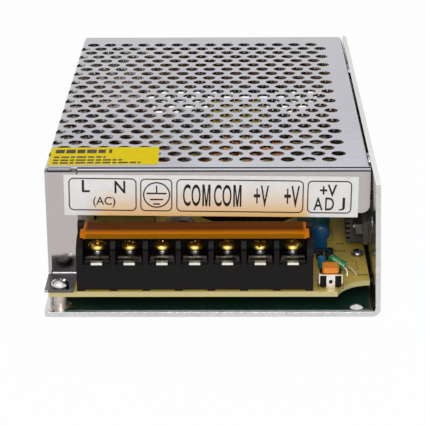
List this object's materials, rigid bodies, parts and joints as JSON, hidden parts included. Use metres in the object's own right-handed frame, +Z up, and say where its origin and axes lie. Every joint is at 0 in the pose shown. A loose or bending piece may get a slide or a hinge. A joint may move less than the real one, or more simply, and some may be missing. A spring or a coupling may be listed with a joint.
{
  "type": "mesh case switching power supply",
  "caption": "Bent aluminium chassis under a perforated steel cover, with a screw terminal block, hinged clear terminal cover, trimmer and power circuit board.",
  "frame": {"origin": "middle of the case's underside", "axes": "+Z up, +Y along the length away from the terminals, +X towards the chassis wall"},
  "size_m": [0.098, 0.16, 0.0411],
  "materials": {
    "aluminium_sheet": "mill",
    "plated_steel": "smooth",
    "insulating_film": "satin",
    "board": "satin",
    "plated_hardware": "polished",
    "black_moulding": "satin",
    "tinned_plate": "polished",
    "clear_amber": "clear",
    "orange_plastic": "satin",
    "green_lens": "clear",
    "yellow_case": "gloss",
    "fuse_glass": "clear",
    "ferrite": "matt",
    "copper_wire": "enamelled",
    "dark_coating": "satin",
    "epoxy_black": "matt",
    "can_sleeve": "gloss",
    "red_case": "gloss",
    "olive_tape": "satin",
    "bobbin_plastic": "satin",
    "yellow_tape": "satin",
    "yellow_powder_core": "matt",
    "teal_sleeve": "gloss",
    "blue_coating": "gloss",
    "resistor_coating": "satin",
    "pad_rubber": "matt",
    "dark_aluminium": "matt",
    "label_film": "satin",
    "yellow_label": "satin",
    "passivated_brass": "polished"
  },
  "bodies": {
    "case": {"chassis": "aluminium_sheet", "cover": "plated_steel", "insulation_sheet": "insulating_film", "pcb": "board", "standoffs": "plated_hardware", "pcb_screws": "plated_hardware", "tab_screw": "plated_hardware", "cover_screws": "plated_hardware", "terminal_block": "black_moulding", "terminal_plates": "tinned_plate", "trimmer_body": "black_moulding", "trimmer_bracket": "tinned_plate", "status_led": "green_lens", "x_capacitor": "yellow_case", "fuse": "fuse_glass", "fuse_clips": "tinned_plate", "line_choke_core": "ferrite", "line_choke_winding": "copper_wire", "thermistor": "dark_coating", "bridge_rectifier": "epoxy_black", "bulk_capacitors": "can_sleeve", "film_capacitor": "red_case", "driver_core": "ferrite", "driver_winding": "olive_tape", "transformer_core": "ferrite", "transformer_bobbin": "bobbin_plastic", "transformer_winding": "yellow_tape", "choke_base": "black_moulding", "output_choke_core": "yellow_powder_core", "output_choke_winding": "copper_wire", "output_capacitors": "teal_sleeve", "disc_capacitors": "blue_coating", "control_chip": "epoxy_black", "resistors": "resistor_coating", "diodes": "epoxy_black", "small_capacitors": "can_sleeve", "power_devices": "epoxy_black", "clamp_bars": "plated_steel", "device_screws": "plated_hardware", "insulating_pads": "pad_rubber", "wall_heatsink": "dark_aluminium", "front_label": "label_film", "top_sticker": "yellow_label"},
    "clamp_1": {"clamp_washer_1": "plated_hardware"},
    "screw_1": {"terminal_screw_1": "passivated_brass"},
    "clamp_2": {"clamp_washer_2": "plated_hardware"},
    "screw_2": {"terminal_screw_2": "passivated_brass"},
    "clamp_3": {"clamp_washer_3": "plated_hardware"},
    "screw_3": {"terminal_screw_3": "passivated_brass"},
    "clamp_4": {"clamp_washer_4": "plated_hardware"},
    "screw_4": {"terminal_screw_4": "passivated_brass"},
    "clamp_5": {"clamp_washer_5": "plated_hardware"},
    "screw_5": {"terminal_screw_5": "passivated_brass"},
    "clamp_6": {"clamp_washer_6": "plated_hardware"},
    "screw_6": {"terminal_screw_6": "passivated_brass"},
    "clamp_7": {"clamp_washer_7": "plated_hardware"},
    "screw_7": {"terminal_screw_7": "passivated_brass"},
    "terminal_flap": {"terminal_cover": "clear_amber"},
    "trimmer_knob": {"trimmer_rotor": "orange_plastic"}
  },
  "joints": [
    {"name": "clamp_lift_1", "type": "slide", "parent": "case", "child": "clamp_1", "axis": [0, 0, 1], "range_m": [0, 0.0015]},
    {"name": "screw_turn_1", "type": "hinge", "parent": "clamp_1", "child": "screw_1", "pos_m": [-0.0335, -0.0716, 0.0181], "axis": [0, 0, 1], "range_deg": [0, 1080]},
    {"name": "clamp_lift_2", "type": "slide", "parent": "case", "child": "clamp_2", "axis": [0, 0, 1], "range_m": [0, 0.0015]},
    {"name": "screw_turn_2", "type": "hinge", "parent": "clamp_2", "child": "screw_2", "pos_m": [-0.024, -0.0716, 0.0181], "axis": [0, 0, 1], "range_deg": [0, 1080]},
    {"name": "clamp_lift_3", "type": "slide", "parent": "case", "child": "clamp_3", "axis": [0, 0, 1], "range_m": [0, 0.0015]},
    {"name": "screw_turn_3", "type": "hinge", "parent": "clamp_3", "child": "screw_3", "pos_m": [-0.0145, -0.0716, 0.0181], "axis": [0, 0, 1], "range_deg": [0, 1080]},
    {"name": "clamp_lift_4", "type": "slide", "parent": "case", "child": "clamp_4", "axis": [0, 0, 1], "range_m": [0, 0.0015]},
    {"name": "screw_turn_4", "type": "hinge", "parent": "clamp_4", "child": "screw_4", "pos_m": [-0.005, -0.0716, 0.0181], "axis": [0, 0, 1], "range_deg": [0, 1080]},
    {"name": "clamp_lift_5", "type": "slide", "parent": "case", "child": "clamp_5", "axis": [0, 0, 1], "range_m": [0, 0.0015]},
    {"name": "screw_turn_5", "type": "hinge", "parent": "clamp_5", "child": "screw_5", "pos_m": [0.0045, -0.0716, 0.0181], "axis": [0, 0, 1], "range_deg": [0, 1080]},
    {"name": "clamp_lift_6", "type": "slide", "parent": "case", "child": "clamp_6", "axis": [0, 0, 1], "range_m": [0, 0.0015]},
    {"name": "screw_turn_6", "type": "hinge", "parent": "clamp_6", "child": "screw_6", "pos_m": [0.014, -0.0716, 0.0181], "axis": [0, 0, 1], "range_deg": [0, 1080]},
    {"name": "clamp_lift_7", "type": "slide", "parent": "case", "child": "clamp_7", "axis": [0, 0, 1], "range_m": [0, 0.0015]},
    {"name": "screw_turn_7", "type": "hinge", "parent": "clamp_7", "child": "screw_7", "pos_m": [0.0235, -0.0716, 0.0181], "axis": [0, 0, 1], "range_deg": [0, 1080]},
    {"name": "cover_hinge", "type": "hinge", "parent": "case", "child": "terminal_flap", "pos_m": [-0.005, -0.068, 0.024], "axis": [-1, 0, 0], "range_deg": [0, 90]},
    {"name": "trimmer_turn", "type": "hinge", "parent": "case", "child": "trimmer_knob", "pos_m": [0.0346, -0.0724, 0.011], "axis": [0, 0, 1], "range_deg": [-130, 130]}
  ],
  "couplings": [
    {"joint": "screw_turn_1", "follows": "clamp_lift_1", "rad_per_m": 12566},
    {"joint": "screw_turn_2", "follows": "clamp_lift_2", "rad_per_m": 12566},
    {"joint": "screw_turn_3", "follows": "clamp_lift_3", "rad_per_m": 12566},
    {"joint": "screw_turn_4", "follows": "clamp_lift_4", "rad_per_m": 12566},
    {"joint": "screw_turn_5", "follows": "clamp_lift_5", "rad_per_m": 12566},
    {"joint": "screw_turn_6", "follows": "clamp_lift_6", "rad_per_m": 12566},
    {"joint": "screw_turn_7", "follows": "clamp_lift_7", "rad_per_m": 12566}
  ]
}
